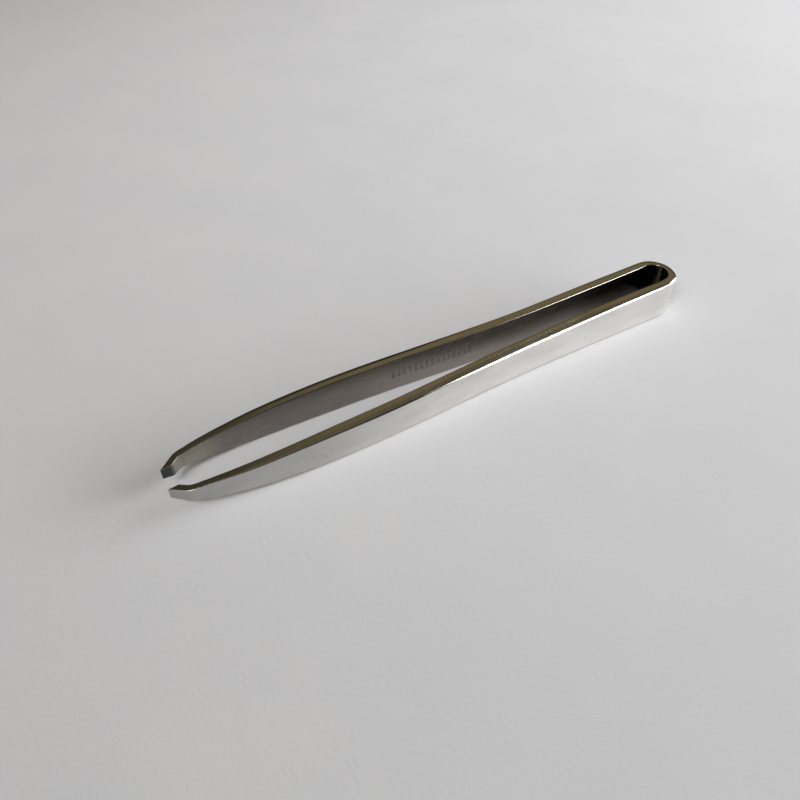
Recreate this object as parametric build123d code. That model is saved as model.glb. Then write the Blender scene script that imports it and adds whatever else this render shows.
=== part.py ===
from build123d import *
import math
import os

# Hairpin tweezers, folded from one strip of stainless steel and standing on the strip's lower edge.
# +X points to the tips, +Y to the left arm, +Z up from the surface that they stand on.
# A station is a distance in millimetres from the back of the bow, along X.
# The strip is modelled as its working stretches, which meet at rounded seats where it flexes.

# ---- driving dimensions, in millimetres and degrees ----
STRIP_THICKNESS = 1.7
BACK_THICKNESS = 1.45
TIP_THICKNESS = 1.05
BOW_RADIUS = 4.0
BOW_INNER_RADIUS = 2.4
BOW_BLEND_END = 14.0

# Outer face in plan: (station, half of the width over both arms)
OUTER_KNOTS = [(15.7, 4.01), (33.7, 4.2), (49.7, 4.88), (61.7, 5.56), (71.7, 5.76), (84.7, 5.34)]
THINNING_START = 62.0
TIP_BEND_START = (93.8, 4.12)
TIP_BEND_HEADING = 11.0
TIP_HEADING = 39.0
TIP_BEND_RADIUS = 3.0

# Side view: both edges curve in towards the tips. Upper edge: (station, height)
UPPER_KNOTS = [(0.0, 7.68), (12.7, 7.5), (20.7, 7.28), (30.7, 6.96), (45.7, 6.67), (66.7, 6.33)]
UPPER_FALL = 1.0
UPPER_RADIUS = 280.0
LOWER_STRAIGHT_END = 64.6
LOWER_RADIUS = 235.0

# Gripping lands, ground on the inner side of the tips
TIP_HALF_GAP = 1.95
LAND_LENGTH = 1.6
LAND_BEVEL = 0.35
CLOSED_CLEARANCE = 0.02

# Flex stations, and how far each one turns for each degree at the first
FLEX_STATIONS = [10.0, 29.0, 48.0]
FLEX_RATIOS = [1.0, 0.61, 0.21]
NOSE_START = 71.0
TIP_START = 91.0
SEAT_RADIUS = 1.7
SEAT_CLEARANCE = 0.02

# Polished rounding along the outer corners of the strip: (upper corner, lower corner)
OUTER_ROUNDING = (0.6, 0.25)
ROUNDING = {
    "spring_leaf": OUTER_ROUNDING,
    "grip_rear": OUTER_ROUNDING,
    "grip_front": OUTER_ROUNDING,
    "nose": (0.35, 0.2),
    "tip": (0.12, 0.12),
}

STOCK_HEIGHT = 9.0
STOCK_REACH = 12.0


# ---- closing motion ----
def closing_angle():
    """Turn in degrees at the first flex station that brings the two lands together."""
    land_middle = front_station() - LAND_LENGTH / 2
    lever = sum(ratio * (land_middle - at) for ratio, at in zip(FLEX_RATIOS, FLEX_STATIONS))
    return math.degrees((TIP_HALF_GAP - CLOSED_CLEARANCE) / lever)


def tip_turn():
    """Whole turn of one tip, in degrees, when the tweezers are closed."""
    return closing_angle() * sum(FLEX_RATIOS)


# ---- plan view of the left half of the strip ----
def polar(radius, degrees):
    """Offset at this radius, with the angle counted from +Y towards +X."""
    angle = math.radians(degrees)
    return Vector(radius * math.sin(angle), radius * math.cos(angle))


def tip_bend_centre():
    return Vector(*TIP_BEND_START) - polar(TIP_BEND_RADIUS, TIP_BEND_HEADING)


def on_tip_facet(offset, height):
    """Point on the straight facet of the tip, this far inside the outer face and this far from the
    middle plane."""
    start = tip_bend_centre() + polar(TIP_BEND_RADIUS - offset, TIP_HEADING)
    run = (start.Y - height) / math.sin(math.radians(TIP_HEADING))
    return start + polar(run, TIP_HEADING + 90)


def front_station():
    return on_tip_facet(0, TIP_HALF_GAP).X


def thickness(station):
    """The strip is drawn thinner round the bow, and is ground thinner from the grip to the tip."""
    side = BOW_RADIUS - BOW_INNER_RADIUS
    share = (station - BOW_RADIUS) / (BOW_BLEND_END - BOW_RADIUS)
    share = min(max(share, 0.0), 1.0)
    drawn = side + (STRIP_THICKNESS - side) * share * share * (3 - 2 * share)
    ground = max(station - THINNING_START, 0.0) / (TIP_BEND_START[0] - THINNING_START)
    return drawn - (STRIP_THICKNESS - TIP_THICKNESS) * min(ground, 1.0) ** 2


def outer_curve():
    heading = math.radians(TIP_BEND_HEADING)
    points = [(BOW_RADIUS, BOW_RADIUS), *OUTER_KNOTS, TIP_BEND_START]
    ends = [(1.0, 0.0), (math.cos(heading), -math.sin(heading))]
    return Spline(*points, tangents=ends)


def inside(outer, share):
    """Point of the inner face, one thickness inside this share of the outer face."""
    at = outer @ share
    along = outer % share
    return at + Vector(along.Y, -along.X) * thickness(at.X)


def inner_curve(outer):
    points = [inside(outer, step / 14) for step in range(15)]
    end_heading = points[-1] - inside(outer, 0.995)
    return Spline(*points, tangents=[outer % 0, end_heading])


def left_strip():
    """Plan of the left arm, from the bow to the ground end of the tip."""
    outer = outer_curve()
    inner = inner_curve(outer)
    front = on_tip_facet(0, TIP_HALF_GAP)
    turn = math.radians(tip_turn())
    rear = front - Vector(math.cos(turn), math.sin(turn)) * LAND_LENGTH
    bevel_top = on_tip_facet(TIP_THICKNESS, rear.Y + LAND_BEVEL)
    outer_bend = tip_bend(TIP_BEND_RADIUS)
    inner_bend = tip_bend(TIP_BEND_RADIUS - TIP_THICKNESS)
    outline = [
        outer,
        outer_bend,
        Line(outer_bend @ 1, front),
        Line(front, rear),
        Line(rear, bevel_top),
        Line(bevel_top, inner_bend @ 1),
        inner_bend,
        inner,
        Line(inner @ 0, outer @ 0),
    ]
    return make_face(outline)


def tip_bend(radius):
    centre = tip_bend_centre()
    middle = (TIP_BEND_HEADING + TIP_HEADING) / 2
    return ThreePointArc(*(centre + polar(radius, at) for at in (TIP_BEND_HEADING, middle, TIP_HEADING)))


def bow_ring():
    """Plan of the return bend, behind the two arms."""
    inner_centre = BACK_THICKNESS + BOW_INNER_RADIUS
    hollow = Pos(inner_centre, 0) * Circle(BOW_INNER_RADIUS)
    hollow += Pos(inner_centre + BOW_RADIUS, 0) * Rectangle(2 * BOW_RADIUS, 2 * BOW_INNER_RADIUS)
    behind = Rectangle(2 * BOW_RADIUS, 2 * STOCK_REACH)
    return (Pos(BOW_RADIUS, 0) * Circle(BOW_RADIUS) & behind) - hollow


def flex_point(outer, station):
    """Middle of the strip's thickness at this station."""
    low, high = 0.0, 1.0
    for _ in range(40):
        share = (low + high) / 2
        if (outer @ share).X < station:
            low = share
        else:
            high = share
    along = outer % low
    return outer @ low + Vector(along.Y, -along.X) * (thickness(station) / 2)


def between(start, end):
    """Plan of everything on the left side from one station to another."""
    width = end - start
    return Pos(start + width / 2, STOCK_REACH / 2) * Rectangle(width, STOCK_REACH)


def seat(point, clearance=0.0):
    return Pos(point.X, point.Y) * Circle(SEAT_RADIUS + clearance)


# ---- solids ----
def side_blank():
    """Everything between the strip's upper and lower edges, in side view."""
    back = -1.0
    front = front_station() + 1.0
    fall = math.radians(UPPER_FALL)
    falling = (math.cos(fall), -math.sin(fall))
    top_back = Vector(back, UPPER_KNOTS[0][1])
    top_bend = Vector(*UPPER_KNOTS[-1])
    lower_bend = Vector(LOWER_STRAIGHT_END, 0)
    upper_turn = math.degrees(math.asin((front - top_bend.X) / UPPER_RADIUS))
    lower_turn = math.degrees(math.asin((front - lower_bend.X) / LOWER_RADIUS))
    upper = JernArc(top_bend, falling, UPPER_RADIUS, -upper_turn)
    lower = JernArc(lower_bend, (1, 0), LOWER_RADIUS, lower_turn)
    outline = [
        Line(top_back, UPPER_KNOTS[0]),
        Spline(*UPPER_KNOTS, tangents=[(1, 0), falling]),
        upper,
        Line(upper @ 1, lower @ 1),
        lower,
        Line(lower_bend, (back, 0)),
        Line((back, 0), top_back),
    ]
    profile = Plane.XZ * make_face(outline)
    return extrude(profile, STOCK_REACH, both=True)


def outer_edges(solid, outline):
    """Upper and lower edges of the outer face: those that lie over its outline in plan."""
    upper, lower = [], []
    for edge in solid.edges():
        upright = abs((edge % 0.5).Z) > 0.5
        over = [Vertex((edge @ share).X, abs((edge @ share).Y), 0) for share in (0.3, 0.7)]
        away = max(min(point.distance_to(curve) for curve in outline) for point in over)
        if not upright and away < 0.005:
            (upper if (edge @ 0.5).Z > UPPER_KNOTS[0][1] / 2.4 else lower).append(edge)
    return upper, lower


def rounded(solid, outline, radii):
    """Rounds the upper outer edges to the first radius and the lower ones to the second."""
    upper, _ = outer_edges(solid, outline)
    solid = fillet(upper, radii[0])
    _, lower = outer_edges(solid, outline)
    return fillet(lower, radii[1])


def plans_of_left_arm(strip, pivots, length):
    """Plan of each stretch of the left arm: its rear end is round and sits in the stretch behind it."""
    first, second, third = FLEX_STATIONS
    leaf = strip & (between(first, second) + seat(pivots[0]))
    grip_rear = strip & (between(second, third) + seat(pivots[1]))
    return {
        "spring_leaf": leaf - seat(pivots[1], SEAT_CLEARANCE),
        "grip_rear": grip_rear - seat(pivots[2], SEAT_CLEARANCE),
        "grip_front": strip & (between(third, NOSE_START) + seat(pivots[2])),
        "nose": strip & between(NOSE_START, TIP_START),
        "tip": strip & between(TIP_START, length + 1),
    }


def plan_of_bow(strip, pivots):
    arm = (strip & between(0, FLEX_STATIONS[0])) - seat(pivots[0], SEAT_CLEARANCE)
    return bow_ring() + arm + mirror(arm, about=Plane.XZ)


def build():
    outer = outer_curve()
    strip = left_strip()
    blank = side_blank()
    pivots = [flex_point(outer, station) for station in FLEX_STATIONS]
    length = front_station()
    bow_back = CenterArc((BOW_RADIUS, 0), BOW_RADIUS, 90, 90)
    bend = tip_bend(TIP_BEND_RADIUS)
    facet = Line(bend @ 1, on_tip_facet(0, TIP_HALF_GAP))
    outline = [outer, bow_back, bend, facet]
    in_frame = Pos(-length / 2, 0, 0)

    bow = extrude(plan_of_bow(strip, pivots), STOCK_HEIGHT) & blank
    parts = {"spring_bow": in_frame * rounded(bow, outline, OUTER_ROUNDING)}
    for name, plan in plans_of_left_arm(strip, pivots, length).items():
        solid = extrude(plan, STOCK_HEIGHT) & blank
        solid = rounded(solid, outline, ROUNDING[name])
        parts["left_" + name] = in_frame * solid
        parts["right_" + name] = in_frame * mirror(solid, about=Plane.XZ)
    report(parts, pivots, length)
    return parts


def report(parts, pivots, length):
    print(f"length {length:.3f}, closing angle {closing_angle():.4f}, tip turn {tip_turn():.4f}")
    for station, point in zip(FLEX_STATIONS, pivots):
        print(f"flex at station {station}: x {point.X - length / 2:.4f}, y {point.Y:.4f}")
    for name, solid in parts.items():
        print(name, len(solid.solids()), f"{solid.volume:.2f} mm3")


os.makedirs("parts", exist_ok=True)
for node, solid in build().items():
    export_step(solid, f"parts/{node}.step")
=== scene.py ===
import math
from types import SimpleNamespace

import bpy
import numpy as np
from mathutils import Matrix, Vector
from mathutils.bvhtree import BVHTree


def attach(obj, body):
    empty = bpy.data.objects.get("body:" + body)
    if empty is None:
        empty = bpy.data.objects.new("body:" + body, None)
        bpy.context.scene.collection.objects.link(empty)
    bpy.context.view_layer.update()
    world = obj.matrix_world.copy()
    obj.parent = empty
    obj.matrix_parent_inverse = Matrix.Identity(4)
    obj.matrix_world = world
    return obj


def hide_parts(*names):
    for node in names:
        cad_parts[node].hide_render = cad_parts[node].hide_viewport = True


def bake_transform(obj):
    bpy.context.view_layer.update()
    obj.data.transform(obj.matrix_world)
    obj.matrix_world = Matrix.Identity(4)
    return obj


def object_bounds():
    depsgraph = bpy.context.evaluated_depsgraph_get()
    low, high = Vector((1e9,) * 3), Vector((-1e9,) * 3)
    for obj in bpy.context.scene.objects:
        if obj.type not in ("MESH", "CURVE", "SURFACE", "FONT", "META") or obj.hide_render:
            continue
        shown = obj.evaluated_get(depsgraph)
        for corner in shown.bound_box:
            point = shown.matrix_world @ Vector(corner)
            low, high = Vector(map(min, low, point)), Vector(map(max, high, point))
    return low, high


# Hairpin tweezers: one strip of stainless steel, folded at the bow and swept along its two arms.
# A station is a distance in millimetres from the back of the bow, along X.
# A reach is a distance along the strip from the same place, below 0 on the right arm.

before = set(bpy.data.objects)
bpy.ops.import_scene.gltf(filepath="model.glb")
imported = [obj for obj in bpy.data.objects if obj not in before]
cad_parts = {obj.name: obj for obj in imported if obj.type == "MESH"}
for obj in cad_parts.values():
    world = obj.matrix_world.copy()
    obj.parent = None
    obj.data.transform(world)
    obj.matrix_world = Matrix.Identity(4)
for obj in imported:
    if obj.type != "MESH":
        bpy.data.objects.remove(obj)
cad_box = [list(corner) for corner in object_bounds()]

MM = 0.001

# ---- strip, in millimetres and degrees ----
BOW_RADIUS = 4.0
BOW_INNER_RADIUS = 2.4
BACK_THICKNESS = 1.45
BOW_BLEND_END = 14.0
STRIP_THICKNESS = 1.7
TIP_THICKNESS = 1.05
KNOT_STATIONS = (15.7, 33.7, 49.7, 61.7, 71.7, 84.7)
THINNING_START = 62.0
TIP_BEND_STATION = 93.8
TIP_BEND_HEADING = 11.0
TIP_HEADING = 39.0
TIP_BEND_RADIUS = 3.0
UPPER_KNOTS = ((0.0, 7.68), (12.7, 7.5), (20.7, 7.28), (30.7, 6.96), (45.7, 6.67), (66.7, 6.33))
UPPER_FALL = 1.0
UPPER_RADIUS = 280.0
LOWER_STRAIGHT_END = 64.6
LOWER_RADIUS = 235.0
TIP_HALF_GAP = 1.95
LAND_LENGTH = 1.6
LAND_BEVEL = 0.35
LAND_TURN = 1.46
FRONT_EDGE = 0.03

# ---- section, by station: widths and turns (degrees) of the upper outer corners, then the radii of the
# other corners. The narrow edges are crowned by a few degrees. ----
UPPER_WIDTH = {
    "left": (
        (0.7, 0.55), (1.8, 0.32), (3.5, 0.42), (7, 0.80), (30, 1.05),
        (45, 1.04), (60, 0.80), (84, 0.40), (90, 0.12), (98, 0.04),
    ),
    "right": (
        (0.7, 0.55), (6, 0.42), (20, 0.30), (40, 0.45),
        (60, 0.80), (75, 0.75), (85, 0.50), (92, 0.12), (98, 0.04),
    ),
}
UPPER_TURN = {"left": ((0.7, 50), (3, 66)), "right": ((0.7, 50), (25, 55), (52, 27))}
LOWER_CORNER = ((0, 0.26), (70, 0.26), (90, 0.10), (98, 0.06))
LOWER_TURN = 90.0
INNER_CORNER = ((0, 0.10), (3.2, 0.12), (6, 0.36), (22, 0.28), (84, 0.20), (94, 0.08))
UPPER_LIMIT = 0.66
LOWER_LIMIT = 0.4
INNER_LIMIT = 0.3
CROWN = 6.0

# ---- mesh ----
CORNER_STEPS = 9
EDGE_STEPS = 8
FACE_STEPS = 14
FACE_MARGIN = 0.007
RING_STEP = 0.3
FEWEST_RINGS = 4
SHARP_ANGLE = 25.0

# ---- finish. A change is two steps of (input, output), and the input is a reach or a noise's level. The
# finish says how polished the edges are, how far the land's bevel is ground and how rough the steel is. ----
TIP_SHINE = ((86, 1.0), (92, 0.3))
BEVEL_GROUND = 0.7
FACE_ROUGHNESS = 0.30
EDGE_ROUGHNESS = 0.09
INNER_ROUGHNESS = ((8, 0.14), (34, 0.26))
GROUND_ROUGHNESS = 0.45
BROAD_ROUGHNESS = ((0.3, -0.03), (0.7, 0.04))

# ---- grain, in features per millimetre along and around the strip, and its height in millimetres ----
BROAD_GRAIN = (0.10, 0.35, 1)
BRUSHING_GRAIN = (0.5, 14.0, 1)
BRUSHING_HEIGHT = 0.0011
MOTTLE_GRAIN = (2.6, 2.6, 1)
MOTTLE_HEIGHT = 0.0016
WAVE_GRAIN = (0.22, 0.5, 1)
WAVE_HEIGHT = 0.010
GRINDING_GRAIN = (16.0, 0.8, 1)
GRINDING_HEIGHT = 0.004

# ---- wear: scratches with their turn, grain and rarity, a duller stretch of the left arm's edge, and
# nicks in a band along a line inwards of its outer corner ----
SCRATCHES = ((4.0, (0.12, 9.0, 1), 0.70), (38.0, (0.25, 7.0, 1), 0.72))
SCRATCH_EDGE = 0.05
SCRATCH_DEPTH = 0.0012
WEAR_START = ((18, 0), (27, 1))
WEAR_END = ((54, 0), (42, 1))
WORN_ROUGHNESS = 0.07
NICK_LINE = 0.62
NICK_BAND = ((0.30, 0), (0.10, 1))
NICK_GRAIN = (4.5, 9.0, 1)
NICK_EDGE = ((0.55, 0), (0.68, 1))
NICK_DEPTH = 0.014
NICK_ROUGHNESS = 0.2
NICK_TONE = ((0, 1.0), (1, 0.55))

# ---- seams between the pieces, and where each joint's bending starts and ends, by station ----
SEAMS = (5.5, 19.5, 38.5, 71.0, 91.0)
BEND_ZONES = ((6.0, 14.0), (23.0, 35.0), (41.0, 55.0))

# ---- stamped row of plain bars on the right arm's inner face, with levels as shares of its height ----
STAMP_START = 42.7
STAMP_SPACING = 1.05
STAMP_BARS = 15
STAMP_HALF_WIDTH = 0.17
STAMP_SLOPE = 0.10
STAMP_DEPTH = 0.09
STAMP_FOOT = 0.41
STAMP_HEAD = 0.64
STAMP_END_SLOPE = 0.015
# The stamped bars' recesses are darkened with painted shade.
STAMP_PAINTED_SHADE = 0.25
STAMP_DULLING = 0.7

# ---- colours of the steel, their tone by reach, and how far its grain changes them. The dark inner and stamp colours are painted shade, and the tone by reach is painted shade and painted light ----
FACE_COLOUR = (0.80, 0.79, 0.76, 1)
# Painted shade: the outer face darkens towards the tip.
FACE_SHADE_TO_TIP = ((42, 1.0), (92, 0.60))
EDGE_COLOUR = (0.66, 0.63, 0.54, 1)
# The inner face's dark colour is painted shade of the slot between the arms. Its tone by reach is painted
# shade by the bow and painted light along the slot, less of it towards the nose and more again at the tip.
INNER_SHADED_COLOUR = (0.225, 0.205, 0.185, 1)
INNER_SHADE_AND_LIGHT = ((5, 0.45), (26, 1.75))
INNER_PAINTED_LIGHT_FALL = ((48, 0.0), (72, 0.65))
INNER_PAINTED_LIGHT_AT_TIP = ((86, 0.0), (94, 0.8))
GROUND_COLOUR = (0.085, 0.09, 0.088, 1)
# Dark colour of the painted shade in the stamped bars.
STAMP_SHADE_COLOUR = (0.10, 0.09, 0.08, 1)
BROAD_TONE = ((0.3, 0.9), (0.7, 1.06))
FACE_BLOTCH = 0.05
INNER_BLOTCH = 0.22
BLOTCH_GAIN = 2.5

# ---- floor, with the paper's grain in features per metre ----
FLOOR_HALF = 1500.0
FLOOR_DROP = 0.005
PAPER_COLOURS = ((0.715, 0.722, 0.750, 1), (0.745, 0.752, 0.775, 1))
PAPER_ROUGHNESS = 0.85
PAPER_GLOSS = 0.2
PATCH_GRAIN = (40, 40, 40)
PATCH_EDGE = ((0.3, 0), (0.7, 1))
TOOTH_GRAIN = (1400, 1400, 1400)
TOOTH_HEIGHT = 0.026

# ---- dim room round the tweezers. A place in it is an azimuth and an elevation, the foot of its walls
# ends by height, and the glow and the ceiling end by the cosine of the angle from their places. ----
FOOT_COLOUR = (0.012, 0.011, 0.010, 1)
FOOT_EDGE = ((0.34, 0), (0.54, 1))
WALL_COLOUR = (0.055, 0.045, 0.028, 1)
GLOW_COLOUR = (0.19, 0.155, 0.09, 1)
GLOW_PLACE = (212, 40)
GLOW_EDGE = ((0.68, 0), (0.96, 1))
CEILING_COLOUR = (0.12, 0.11, 0.09, 1)
CEILING_PLACE = (90, 60)
CEILING_EDGE = ((0.62, 0), (0.92, 1))

# ---- lamps: azimuth, elevation and distance in metres; size in metres; radiance; colour; spread; and
# the point of the floor that each is aimed at, in millimetres ----
PANE_COLOUR = (0.97, 0.985, 1.0)
WARM_COLOUR = (1.0, 0.975, 0.96)
LAMPS = {
    "low_window": ((151, 9, 0.68), (0.74, 0.22), 9.5, PANE_COLOUR, 180, (0, 0)),
    "window": ((168, 22, 0.68), (0.36, 0.36), 6.3, PANE_COLOUR, 180, (0, 0)),
    "ceiling": ((18, 58, 0.80), (0.50, 0.50), 0.61, WARM_COLOUR, 38, (-140, -160)),
}

# ---- camera ----
CAMERA_PLACE = (49.727, 69.55, 81.83)
CAMERA_RIGHT = (-0.8685, 0.4957, 0.0018)
CAMERA_BACK = (0.3503, 0.6111, 0.7098)
CAMERA_SENSOR = 36.0
CAMERA_LENS = 31.05


# ---- plan and side view of the strip ----
def frame_surface():
    """All CAD nodes as one surface that rays can be cast at."""
    points = []
    faces = []
    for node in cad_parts.values():
        first = len(points)
        points.extend(vertex.co.copy() for vertex in node.data.vertices)
        faces.extend([first + index for index in face.vertices] for face in node.data.polygons)
    return BVHTree.FromPolygons(points, faces)


def along_x(station):
    """X in the frame, in metres, of a station in millimetres."""
    return cad_box[0][0] + station * MM


def half_width(surface, station):
    """Distance in millimetres from the middle plane to the frame's outer face."""
    start = Vector((along_x(station), 2 * cad_box[1][1], UPPER_KNOTS[0][1] / 2 * MM))
    return surface.ray_cast(start, Vector((0, -1, 0)))[0].y / MM


def clamped_spline(knots, start_slope, end_slope):
    """Smooth cubic through the knots, with the given slopes at its two ends."""
    x, y = (np.array(values, float) for values in zip(*knots))
    h = np.diff(x)
    rise = np.diff(y) / h
    count = len(x)
    system = np.eye(count)
    wanted = np.array([start_slope, *np.zeros(count - 2), end_slope])
    for i in range(1, count - 1):
        system[i, i - 1 : i + 2] = h[i], 2 * (h[i - 1] + h[i]), h[i - 1]
        wanted[i] = 3 * (h[i] * rise[i - 1] + h[i - 1] * rise[i])
    slopes = np.linalg.solve(system, wanted)

    def value(at):
        i = int(np.clip(np.searchsorted(x, at) - 1, 0, count - 2))
        t = (at - x[i]) / h[i]
        start = (1 + 2 * t) * (1 - t) ** 2 * y[i] + t * (1 - t) ** 2 * h[i] * slopes[i]
        end = t * t * (3 - 2 * t) * y[i + 1] + t * t * (t - 1) * h[i] * slopes[i + 1]
        return start + end

    return value


def outline():
    """Half of the width over both arms, by station."""
    surface = frame_surface()
    stations = (*KNOT_STATIONS, TIP_BEND_STATION)
    knots = [(BOW_RADIUS, BOW_RADIUS), *((at, half_width(surface, at)) for at in stations)]
    return clamped_spline(knots, 0, -math.tan(math.radians(TIP_BEND_HEADING)))


def eased(steps, at):
    """Value that goes smoothly from each (station, value) step to the next."""
    for (a, first), (b, second) in zip(steps, steps[1:]):
        if at <= b:
            t = min(max((at - a) / (b - a), 0), 1)
            return first + (second - first) * t * t * (3 - 2 * t)
    return steps[-1][1]


def strip_thickness(station):
    side = BOW_RADIUS - BOW_INNER_RADIUS
    drawn = eased(((BOW_RADIUS, side), (BOW_BLEND_END, STRIP_THICKNESS)), station)
    ground = max(station - THINNING_START, 0) / (TIP_BEND_STATION - THINNING_START)
    return drawn - (STRIP_THICKNESS - TIP_THICKNESS) * min(ground, 1) ** 2


def sagitta(radius, run):
    """How far an arc has left its tangent after this run along it."""
    return radius - math.sqrt(radius**2 - max(run, 0) ** 2)


UPPER_SPLINE = clamped_spline(UPPER_KNOTS, 0, -math.tan(math.radians(UPPER_FALL)))


def upper_edge(station):
    arc_start, height = UPPER_KNOTS[-1]
    if station < arc_start:
        return UPPER_SPLINE(station)
    run = station - arc_start
    turn = math.radians(UPPER_FALL)
    leaning = run * math.cos(turn) - sagitta(UPPER_RADIUS, run) * math.sin(turn)
    return height - leaning * math.tan(turn) - sagitta(UPPER_RADIUS, run)


def lower_edge(station):
    return sagitta(LOWER_RADIUS, station - LOWER_STRAIGHT_END)


def polar(centre, radius, degrees):
    """Point on a circle, with the angle counted from +Y towards +X."""
    angle = math.radians(degrees)
    return np.array(centre) + radius * np.array([math.sin(angle), math.cos(angle)])


OUTLINE = outline()
BOW_QUARTER = math.pi / 2 * (BOW_RADIUS - STRIP_THICKNESS / 2)
BEND_START = np.array([TIP_BEND_STATION, OUTLINE(TIP_BEND_STATION)])
BEND_CENTRE = BEND_START * 2 - polar(BEND_START, TIP_BEND_RADIUS, TIP_BEND_HEADING)
BEND_RUN = TIP_BEND_RADIUS * math.radians(TIP_HEADING - TIP_BEND_HEADING)
FACET_WAY = polar((0, 0), 1, TIP_HEADING + 90)
OUTER_FACET = polar(BEND_CENTRE, TIP_BEND_RADIUS, TIP_HEADING)
INNER_FACET = polar(BEND_CENTRE, TIP_BEND_RADIUS - TIP_THICKNESS, TIP_HEADING)
FACET_RUN = (TIP_HALF_GAP - OUTER_FACET[1]) / FACET_WAY[1]
FRONT = OUTER_FACET + FACET_RUN * FACET_WAY
LAND_REAR = FRONT - polar((0, 0), LAND_LENGTH, 90 - LAND_TURN)
BEVEL_RUN = (LAND_REAR[1] + LAND_BEVEL - INNER_FACET[1]) / FACET_WAY[1]
BEVEL_TOP = INNER_FACET + BEVEL_RUN * FACET_WAY
BEVEL_LENGTH = np.linalg.norm(LAND_REAR - BEVEL_TOP)
LAND_RUN = BEVEL_RUN + (FACET_RUN - BEVEL_RUN) * BEVEL_LENGTH / (BEVEL_LENGTH + LAND_LENGTH)


def reach_of(station):
    return BOW_QUARTER + station - BOW_RADIUS


def reach_of_facet(run):
    """Reach of a place on the tip's straight facet, this far from the end of its bend."""
    return reach_of(TIP_BEND_STATION) + BEND_RUN + run


def plan_of_bow(reach):
    turn = -90 + 90 * reach / BOW_QUARTER
    outer = polar((BOW_RADIUS, 0), BOW_RADIUS, turn)
    return outer, polar((BACK_THICKNESS + BOW_INNER_RADIUS, 0), BOW_INNER_RADIUS, turn)


def plan_of_arm(station):
    outer = np.array([station, OUTLINE(station)])
    step = 0.01
    slope = (OUTLINE(station + step) - OUTLINE(station - step)) / (2 * step)
    inwards = np.array([slope, -1]) / math.hypot(slope, 1)
    return outer, outer + inwards * strip_thickness(station)


def plan_of_tip(run):
    """The tip bends in to a straight facet; its inner side ends in a bevel and the flat land."""
    if run <= BEND_RUN:
        degrees = TIP_BEND_HEADING + math.degrees(run / TIP_BEND_RADIUS)
        radii = (TIP_BEND_RADIUS, TIP_BEND_RADIUS - TIP_THICKNESS)
        return tuple(polar(BEND_CENTRE, radius, degrees) for radius in radii)
    run -= BEND_RUN
    if run <= BEVEL_RUN:
        inner = INNER_FACET + FACET_WAY * run
    elif run <= LAND_RUN:
        inner = BEVEL_TOP + (LAND_REAR - BEVEL_TOP) * (run - BEVEL_RUN) / (LAND_RUN - BEVEL_RUN)
    else:
        inner = LAND_REAR + (FRONT - LAND_REAR) * (run - LAND_RUN) / (FACET_RUN - LAND_RUN)
    return OUTER_FACET + FACET_WAY * run, inner


def plan(reach):
    """Outer and inner points of the strip in plan, by station and distance from the middle plane."""
    if abs(reach) < BOW_QUARTER:
        outer, inner = plan_of_bow(abs(reach))
    elif abs(reach) < reach_of(TIP_BEND_STATION):
        outer, inner = plan_of_arm(abs(reach) - BOW_QUARTER + BOW_RADIUS)
    else:
        outer, inner = plan_of_tip(abs(reach) - reach_of(TIP_BEND_STATION))
    side = np.array([1, -1 if reach < 0 else 1])
    return outer * side, inner * side


# ---- section of the strip ----
def half_section(thickness, outer_corner, inner_corner, outer_turn):
    """Upper half of a section from the outer face to the inner one, as depths and heights below its
    crown. The corners are arcs, and the edge between them is crowned. The outer corner turns through
    outer_turn and then meets its face at a crease."""
    crown = math.radians(CROWN)
    outer_turns = np.linspace(math.radians(outer_turn), crown, CORNER_STEPS + 1)
    inner_turns = np.linspace(crown, math.pi / 2, CORNER_STEPS + 1)
    reach = math.sin(outer_turns[0])
    first = outer_corner * (reach - math.sin(crown))
    last = thickness - inner_corner * (1 - math.sin(crown))
    radius = (last - first) / 2 / math.sin(crown)
    rise = radius * (1 - math.cos(crown))
    tilts = np.linspace(-crown, crown, EDGE_STEPS + 1)[1:-1]
    depths = [outer_corner * (reach - np.sin(outer_turns))]
    heights = [outer_corner * (np.cos(outer_turns) - math.cos(crown)) - rise]
    depths.append((first + last) / 2 + radius * np.sin(tilts))
    heights.append(radius * (np.cos(tilts) - 1))
    depths.append(thickness - inner_corner * (1 - np.sin(inner_turns)))
    heights.append(inner_corner * (np.cos(inner_turns) - math.cos(crown)) - rise)
    return np.concatenate(depths), np.concatenate(heights)


def stamp_depth(reach, levels):
    """Depth of the stamped bars at these levels of the inner face."""
    station = -reach - BOW_QUARTER + BOW_RADIUS
    place = (station - STAMP_START) / STAMP_SPACING
    nearest = min(max(round(place), 0), STAMP_BARS - 1)
    away = abs(station - STAMP_START - nearest * STAMP_SPACING) - STAMP_HALF_WIDTH
    across = min(max(1 - away / STAMP_SLOPE, 0), 1)
    beyond = np.maximum(STAMP_FOOT - levels, levels - STAMP_HEAD)
    return STAMP_DEPTH * across * np.clip(1 - beyond / STAMP_END_SLOPE, 0, 1)


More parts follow.
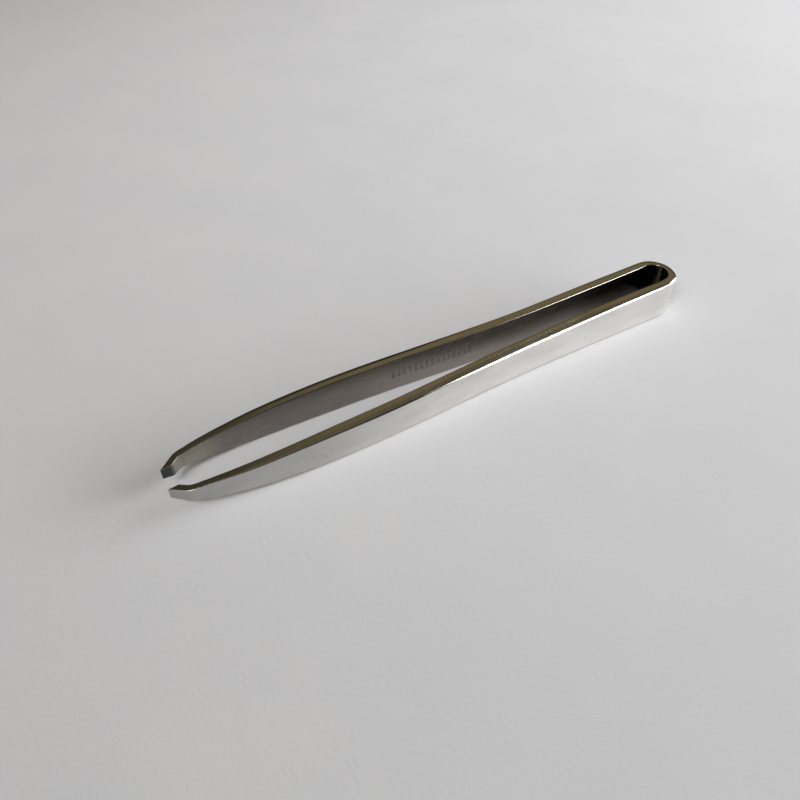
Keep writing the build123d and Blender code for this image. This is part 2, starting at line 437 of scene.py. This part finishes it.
def ring(reach, levels):
    """Points around the strip at this reach, with what each one's surface is like."""
    outer, inner = plan(reach)
    thickness = np.linalg.norm(inner - outer)
    station = (outer[0] + inner[0]) / 2
    side = "right" if reach < 0 else "left"
    turn = eased(UPPER_TURN[side], station)
    upper_width = min(eased(UPPER_WIDTH[side], station), UPPER_LIMIT * thickness)
    upper_corner = upper_width / (math.sin(math.radians(turn)) - math.sin(math.radians(CROWN)))
    lower_corner = min(eased(LOWER_CORNER, station), LOWER_LIMIT * thickness)
    inner_corner = min(eased(INNER_CORNER, station), INNER_LIMIT * thickness)
    low, high = lower_edge(outer[0]), upper_edge(outer[0])
    upper_depth, below = half_section(thickness, upper_corner, inner_corner, turn)
    lower_depth, above = half_section(thickness, lower_corner, inner_corner, LOWER_TURN)
    tops = high + below
    bottoms = (low - above)[::-1]
    rising = bottoms[-1] + (tops[0] - bottoms[-1]) * levels
    falling = tops[-1] + (bottoms[0] - tops[-1]) * (1 - levels[::-1])
    outside = np.zeros(len(levels))
    stamped = stamp_depth(reach, levels[::-1])
    inside = thickness - stamped
    depths = np.concatenate([outside, upper_depth, inside, lower_depth[::-1]])
    heights = np.concatenate([rising, tops, falling, bottoms])
    shares = depths / thickness
    raised = (heights - low) / (high - low)
    lift = raised * (upper_edge(inner[0]) - high) + (1 - raised) * (lower_edge(inner[0]) - low)
    flat = outer + np.outer(shares, inner - outer)
    points = np.column_stack([flat, heights + shares * lift])
    steps = np.linalg.norm(np.diff(points, axis=0), axis=1)
    around = np.concatenate([[0], np.cumsum(steps)])
    around -= around[len(levels) + CORNER_STEPS // 2]
    points[:, 0] = along_x(points[:, 0]) / MM
    stamp = np.zeros(len(points))
    first = len(levels) + len(upper_depth)
    stamp[first : first + len(levels)] = stamped / STAMP_DEPTH
    return points * MM, around, stamp


def surface_kinds(level_count):
    """For each point around a section, how far it is polished edge and how far it is inner face."""
    half = 2 * CORNER_STEPS + EDGE_STEPS + 1
    polish = np.ones(half)
    inside = np.concatenate([np.zeros(half - CORNER_STEPS), np.linspace(0, 1, CORNER_STEPS)])
    flat = np.zeros(level_count)
    polishes = np.concatenate([flat, polish, flat, polish[::-1]])
    insides = np.concatenate([flat, inside, flat + 1, inside[::-1]])
    return polishes, insides


def ring_places(start, end):
    """Reaches of the rings from one reach to another, with one at each corner of the shape."""
    count = max(round((end - start) / RING_STEP), FEWEST_RINGS)
    places = set(np.linspace(start, end, count + 1).tolist())
    corners = [reach_of_facet(run) for run in (BEVEL_RUN, LAND_RUN)]
    for bar in range(STAMP_BARS):
        for slope in (-STAMP_SLOPE, 0):
            for side in (-1, 1):
                edge = side * (STAMP_HALF_WIDTH - slope)
                corners.append(-reach_of(STAMP_START + bar * STAMP_SPACING + edge))
    places.update(corner for corner in corners if start < corner < end)
    places.update(-corner for corner in corners[:2] if start < -corner < end)
    return sorted(places)


def face_levels(stamped):
    """Levels of the points between a face's corners, with some at the ends of the stamped bars."""
    levels = np.linspace(0, 1, FACE_STEPS + 1)
    levels[[0, -1]] = FACE_MARGIN, 1 - FACE_MARGIN
    if stamped:
        ends = (STAMP_FOOT - STAMP_END_SLOPE, STAMP_FOOT, STAMP_HEAD, STAMP_HEAD + STAMP_END_SLOPE)
        levels = np.sort(np.concatenate([levels, ends]))
    return levels


def ground_share(reach):
    """How far the inner face at this reach is ground: the land and its bevel are."""
    past = 0.01
    if abs(reach) > reach_of_facet(LAND_RUN) + past:
        return 1.0
    return BEVEL_GROUND * (abs(reach) > reach_of_facet(BEVEL_RUN) + past)


def swept_piece(name, start, end, stamped=False):
    """Closed mesh of the strip from one reach to another."""
    levels = face_levels(stamped)
    places = ring_places(start, end)
    rings = [ring(place, levels) for place in places]
    polish, inside = surface_kinds(len(levels))
    size = len(polish)
    faces = []
    for i in range(len(rings) - 1):
        for j in range(size):
            k = (j + 1) % size
            faces.append((i * size + j, i * size + k, (i + 1) * size + k, (i + 1) * size + j))
    last = (len(rings) - 1) * size
    faces.append(tuple(range(size - 1, -1, -1)))
    faces.append(tuple(range(last, last + size)))
    mesh = bpy.data.meshes.new(name)
    mesh.from_pydata(np.concatenate([points for points, _, _ in rings]).tolist(), [], faces)
    surface = [(place, at, 0) for place, (_, around, _) in zip(places, rings) for at in around]
    add_attribute(mesh, "surface", "FLOAT_VECTOR", "vector", surface)
    shine = [eased(TIP_SHINE, abs(place)) * at for place in places for at in polish]
    add_attribute(mesh, "polish", "FLOAT", "value", shine)
    add_attribute(mesh, "inside", "FLOAT", "value", np.tile(inside, len(rings)))
    ground = [ground_share(place) * at for place in places for at in inside]
    add_attribute(mesh, "ground", "FLOAT", "value", ground)
    add_attribute(mesh, "stamp", "FLOAT", "value", [at for _, _, stamp in rings for at in stamp])
    mesh.shade_smooth()
    mesh.set_sharp_from_angle(angle=math.radians(SHARP_ANGLE))
    piece = bpy.data.objects.new(name, mesh)
    bpy.context.scene.collection.objects.link(piece)
    return piece


def add_attribute(mesh, name, kind, field, values):
    attribute = mesh.attributes.new(name, kind, "POINT")
    attribute.data.foreach_set(field, np.array(values, np.float32).ravel())


# ---- materials ----
def add_node(tree, kind, settings=None, **inputs):
    """Adds a shader node. An input is a value, or another node's output to join to it."""
    node = tree.nodes.new(kind)
    for name, value in (settings or {}).items():
        setattr(node, name, value)
    for name, value in inputs.items():
        key = int(name[1:]) if name[0] == "i" and name[1:].isdigit() else name.replace("_", " ")
        socket = node.inputs[key]
        if isinstance(value, bpy.types.NodeSocket):
            tree.links.new(value, socket)
        else:
            socket.default_value = value
    return node


def attribute(tree, name, output="Fac"):
    return add_node(tree, "ShaderNodeAttribute", {"attribute_name": name}).outputs[output]


def maths(tree, operation, a, b=0.0, c=0.0):
    node = add_node(tree, "ShaderNodeMath", {"operation": operation}, i0=a, i1=b, i2=c)
    return node.outputs[0]


def remapped(tree, value, steps, smooth=False):
    """Goes from one (input, output) step to the other, and stays level outside them."""
    (low, to_low), (high, to_high) = steps
    settings = {"interpolation_type": "SMOOTHSTEP"} if smooth else {}
    node = add_node(tree, "ShaderNodeMapRange", settings, i0=value, i1=low, i2=high, i3=to_low, i4=to_high)
    return node.outputs[0]


def scaled(tree, colour, tone):
    node = add_node(tree, "ShaderNodeVectorMath", {"operation": "SCALE"}, i0=colour, Scale=tone)
    return node.outputs[0]


def noise(tree, vector, grain, detail=3.0, roughness=0.55, place=(0, 0, 0)):
    """Noise with this many features per unit along each axis of the vector."""
    mapping = add_node(tree, "ShaderNodeMapping", Vector=vector, Scale=grain, Location=place)
    node = add_node(
        tree, "ShaderNodeTexNoise", Vector=mapping.outputs[0], Scale=1.0, Detail=detail, Roughness=roughness
    )
    return node.outputs[0]


def mixed(tree, share, a, b):
    """Mixes two numbers or two colours."""
    colours = not isinstance(a, (int, float)) and getattr(a, "type", "") != "VALUE"
    kind = "RGBA" if colours else "FLOAT"
    node = add_node(tree, "ShaderNodeMix", {"data_type": kind})
    first = {"RGBA": 6, "FLOAT": 2}[kind]
    for index, value in ((0, share), (first, a), (first + 1, b)):
        if isinstance(value, bpy.types.NodeSocket):
            tree.links.new(value, node.inputs[index])
        else:
            node.inputs[index].default_value = value
    return node.outputs[{"RGBA": 2, "FLOAT": 0}[kind]]


def scratches(tree, vector, turn, grain, rarity):
    """Sparse thin lines: 1 on a line and 0 off it."""
    turned = add_node(tree, "ShaderNodeMapping", Vector=vector, Rotation=(0, 0, math.radians(turn)))
    lines = noise(tree, turned.outputs[0], grain, detail=1.0)
    return remapped(tree, lines, ((rarity, 0), (rarity + SCRATCH_EDGE, 1)))


def steel_marks(tree):
    """What the steel is like at each point: the kind of surface, its grain and its wear."""
    surface = attribute(tree, "surface", "Vector")
    reach, around, _ = add_node(tree, "ShaderNodeSeparateXYZ", Vector=surface).outputs
    past_start = remapped(tree, reach, WEAR_START, smooth=True)
    before_end = remapped(tree, reach, WEAR_END, smooth=True)
    worn = maths(tree, "MULTIPLY", past_start, before_end)
    aside = maths(tree, "ABSOLUTE", maths(tree, "SUBTRACT", around, NICK_LINE))
    nick_band = maths(tree, "MULTIPLY", worn, remapped(tree, aside, NICK_BAND))
    chips = remapped(tree, noise(tree, surface, NICK_GRAIN, place=(5, 5, 0)), NICK_EDGE)
    fine, slanting = (scratches(tree, surface, *kind) for kind in SCRATCHES)
    return SimpleNamespace(
        along=maths(tree, "ABSOLUTE", reach),
        polish=attribute(tree, "polish"),
        inside=attribute(tree, "inside"),
        ground=attribute(tree, "ground"),
        stamp=attribute(tree, "stamp"),
        broad=noise(tree, surface, BROAD_GRAIN, detail=4.0),
        brushing=noise(tree, surface, BRUSHING_GRAIN, roughness=0.7),
        mottle=noise(tree, surface, MOTTLE_GRAIN, detail=4.0, roughness=0.65, place=(7, 3, 0)),
        waves=noise(tree, surface, WAVE_GRAIN, detail=1.0, place=(11, 2, 0)),
        grinding=noise(tree, surface, GRINDING_GRAIN, detail=2.0, place=(3, 9, 0)),
        scratches=maths(tree, "MAXIMUM", fine, slanting),
        worn=worn,
        nicks=maths(tree, "MULTIPLY", nick_band, chips),
    )


def steel_colour(tree, marks):
    # The outer face's colour is darkened towards the tip as painted shade.
    face = scaled(tree, FACE_COLOUR[:3], remapped(tree, marks.along, FACE_SHADE_TO_TIP, smooth=True))
    # The inner face's tone by reach: painted shade by the bow, painted light further along.
    tone = remapped(tree, marks.along, INNER_SHADE_AND_LIGHT, smooth=True)
    tone = maths(tree, "SUBTRACT", tone, remapped(tree, marks.along, INNER_PAINTED_LIGHT_FALL, smooth=True))
    tone = maths(tree, "ADD", tone, remapped(tree, marks.along, INNER_PAINTED_LIGHT_AT_TIP, smooth=True))
    colour = mixed(tree, marks.polish, face, EDGE_COLOUR)
    # The inner face's dark colour, scaled by that tone, is painted shade.
    colour = mixed(tree, marks.inside, colour, scaled(tree, INNER_SHADED_COLOUR[:3], tone))
    colour = mixed(tree, marks.ground, colour, GROUND_COLOUR)
    # The stamped bars are darkened as painted shade in their recesses.
    colour = mixed(tree, maths(tree, "MULTIPLY", marks.stamp, STAMP_PAINTED_SHADE), colour, STAMP_SHADE_COLOUR)
    shade = remapped(tree, marks.broad, BROAD_TONE)
    blotch = mixed(tree, marks.inside, FACE_BLOTCH, INNER_BLOTCH)
    for grain in (marks.mottle, marks.brushing):
        spread = maths(tree, "MULTIPLY", maths(tree, "SUBTRACT", grain, 0.5), blotch)
        shade = maths(tree, "MULTIPLY", shade, maths(tree, "MULTIPLY_ADD", spread, BLOTCH_GAIN, 1.0))
    shade = maths(tree, "MULTIPLY", shade, remapped(tree, marks.nicks, NICK_TONE))
    return scaled(tree, colour, shade)


def steel_roughness(tree, marks):
    edge = maths(tree, "MULTIPLY_ADD", marks.worn, WORN_ROUGHNESS, EDGE_ROUGHNESS)
    rough = mixed(tree, marks.polish, FACE_ROUGHNESS, edge)
    rough = mixed(tree, marks.inside, rough, remapped(tree, marks.along, INNER_ROUGHNESS))
    rough = mixed(tree, marks.ground, rough, GROUND_ROUGHNESS)
    rough = mixed(tree, maths(tree, "MULTIPLY", marks.stamp, STAMP_DULLING), rough, GROUND_ROUGHNESS)
    rough = maths(tree, "ADD", rough, remapped(tree, marks.broad, BROAD_ROUGHNESS))
    return maths(tree, "ADD", rough, maths(tree, "MULTIPLY", marks.nicks, NICK_ROUGHNESS))


def steel_relief(tree, marks):
    """Normals of the steel, bent by its grain and its marks."""
    satin = maths(tree, "SUBTRACT", 1.0, marks.polish)
    height = maths(tree, "MULTIPLY", maths(tree, "MULTIPLY", marks.brushing, satin), BRUSHING_HEIGHT)
    layers = (
        (maths(tree, "MULTIPLY", marks.mottle, satin), MOTTLE_HEIGHT),
        (marks.waves, WAVE_HEIGHT),
        (marks.scratches, -SCRATCH_DEPTH),
        (marks.nicks, -NICK_DEPTH),
        (maths(tree, "MULTIPLY", marks.grinding, marks.ground), GRINDING_HEIGHT),
    )
    for layer, rise in layers:
        height = maths(tree, "MULTIPLY_ADD", layer, rise, height)
    return add_node(tree, "ShaderNodeBump", Height=height, Distance=MM, Strength=1.0).outputs[0]


def strip_steel():
    """Satin stainless steel with polished edges and a duller, brushed inner face, whose dark colour is
    painted shade of the slot between the arms.
    """
    material = bpy.data.materials.new("strip_steel")
    material.use_nodes = True
    tree = material.node_tree
    shader = tree.nodes["Principled BSDF"]
    marks = steel_marks(tree)
    tree.links.new(steel_colour(tree, marks), shader.inputs["Base Color"])
    tree.links.new(steel_roughness(tree, marks), shader.inputs["Roughness"])
    tree.links.new(steel_relief(tree, marks), shader.inputs["Normal"])
    shader.inputs["Metallic"].default_value = 1.0
    return material


def paper():
    """Pale matt paper with a faint tooth."""
    material = bpy.data.materials.new("pale paper")
    material.use_nodes = True
    tree = material.node_tree
    shader = tree.nodes["Principled BSDF"]
    place = add_node(tree, "ShaderNodeTexCoord").outputs["Object"]
    patches = remapped(tree, noise(tree, place, PATCH_GRAIN), PATCH_EDGE)
    tooth = noise(tree, place, TOOTH_GRAIN, detail=4.0, roughness=0.6)
    tree.links.new(mixed(tree, patches, *PAPER_COLOURS), shader.inputs["Base Color"])
    bump = add_node(tree, "ShaderNodeBump", Height=tooth, Distance=TOOTH_HEIGHT * MM, Strength=1.0)
    tree.links.new(bump.outputs[0], shader.inputs["Normal"])
    shader.inputs["Roughness"].default_value = PAPER_ROUGHNESS
    shader.inputs["Specular IOR Level"].default_value = PAPER_GLOSS
    return material


# ---- the tweezers ----
def build_tweezers():
    steel = strip_steel()
    bow = swept_piece("bow_steel", -reach_of(SEAMS[0]), reach_of(SEAMS[0]))
    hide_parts("spring_bow")
    pieces = [(bow, "steel_strip")]
    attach(bow, "bow")
    stretches = ("spring_leaf", "grip_rear", "grip_front", "nose", "tip")
    ends = [reach_of(station) for station in SEAMS] + [reach_of_facet(FACET_RUN - FRONT_EDGE)]
    for side, sign in (("left", 1), ("right", -1)):
        for index, stretch in enumerate(stretches):
            start, end = sorted((sign * ends[index], sign * ends[index + 1]))
            stamped = side == "right" and stretch == "grip_front"
            piece = swept_piece(f"{side}_{stretch}_steel", start, end, stamped)
            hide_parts(f"{side}_{stretch}")
            if index < len(BEND_ZONES):
                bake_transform(piece)
            else:
                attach(piece, f"{side}_jaw")
            pieces.append((piece, "ground_tip" if stretch == "tip" else "steel_strip"))
    for piece, slot in pieces:
        piece.data.materials.append(steel)


# ---- stage ----
def build_floor():
    half = FLOOR_HALF * MM
    mesh = bpy.data.meshes.new("paper_floor")
    corners = [(-half, -half, 0), (half, -half, 0), (half, half, 0), (-half, half, 0)]
    mesh.from_pydata(corners, [], [(0, 1, 2, 3)])
    floor = bpy.data.objects.new("paper_floor", mesh)
    floor.location.z = -FLOOR_DROP * MM
    bpy.context.scene.collection.objects.link(floor)
    mesh.materials.append(paper())


def towards(azimuth, elevation):
    """Direction at this angle round from +X towards +Y, and this angle above the floor."""
    a, e = math.radians(azimuth), math.radians(elevation)
    return Vector((math.cos(e) * math.cos(a), math.cos(e) * math.sin(a), math.sin(e)))


def facing(tree, direction, place):
    """Cosine of the angle between a direction and a place in the room."""
    way = towards(*place)
    node = add_node(tree, "ShaderNodeVectorMath", {"operation": "DOT_PRODUCT"}, i0=direction, i1=way)
    return node.outputs["Value"]


def add_area_light(name, place, size, radiance, colour, spread, aim):
    azimuth, elevation, distance = place
    data = bpy.data.lights.new(name, "AREA")
    data.shape = "RECTANGLE"
    data.size, data.size_y = size
    data.energy = radiance * math.pi * size[0] * size[1]
    data.spread = math.radians(spread)
    data.color = colour
    light = bpy.data.objects.new(name, data)
    light.location = towards(azimuth, elevation) * distance
    way = Vector((*aim, 0)) * MM - light.location
    light.rotation_euler = way.to_track_quat("-Z", "Y").to_euler()
    bpy.context.scene.collection.objects.link(light)


def light_room():
    world = bpy.data.worlds.new("dim room")
    bpy.context.scene.world = world
    world.use_nodes = True
    tree = world.node_tree
    direction = add_node(tree, "ShaderNodeTexCoord").outputs["Generated"]
    height = add_node(tree, "ShaderNodeSeparateXYZ", Vector=direction).outputs[2]
    glow = remapped(tree, facing(tree, direction, GLOW_PLACE), GLOW_EDGE, smooth=True)
    raised = remapped(tree, height, FOOT_EDGE, smooth=True)
    overhead = remapped(tree, facing(tree, direction, CEILING_PLACE), CEILING_EDGE, smooth=True)
    colour = mixed(tree, glow, WALL_COLOUR, GLOW_COLOUR)
    colour = mixed(tree, raised, FOOT_COLOUR, colour)
    colour = mixed(tree, overhead, colour, CEILING_COLOUR)
    background = tree.nodes["Background"]
    tree.links.new(colour, background.inputs["Color"])
    background.inputs["Strength"].default_value = 1.0
    for name, lamp in LAMPS.items():
        add_area_light(name, *lamp)


def place_camera():
    data = bpy.data.cameras.new("camera")
    data.sensor_width = CAMERA_SENSOR
    data.lens = CAMERA_LENS
    data.clip_start = 0.005
    data.clip_end = 20.0
    camera = bpy.data.objects.new("camera", data)
    right = Vector(CAMERA_RIGHT).normalized()
    back = Vector(CAMERA_BACK).normalized()
    up = back.cross(right)
    turn = Matrix((right, up, back)).transposed().to_4x4()
    camera.matrix_world = Matrix.Translation(Vector(CAMERA_PLACE) * MM) @ turn
    bpy.context.scene.collection.objects.link(camera)
    bpy.context.scene.camera = camera


bpy.context.scene.view_settings.view_transform = "Standard"
build_tweezers()
build_floor()
light_room()
place_camera()
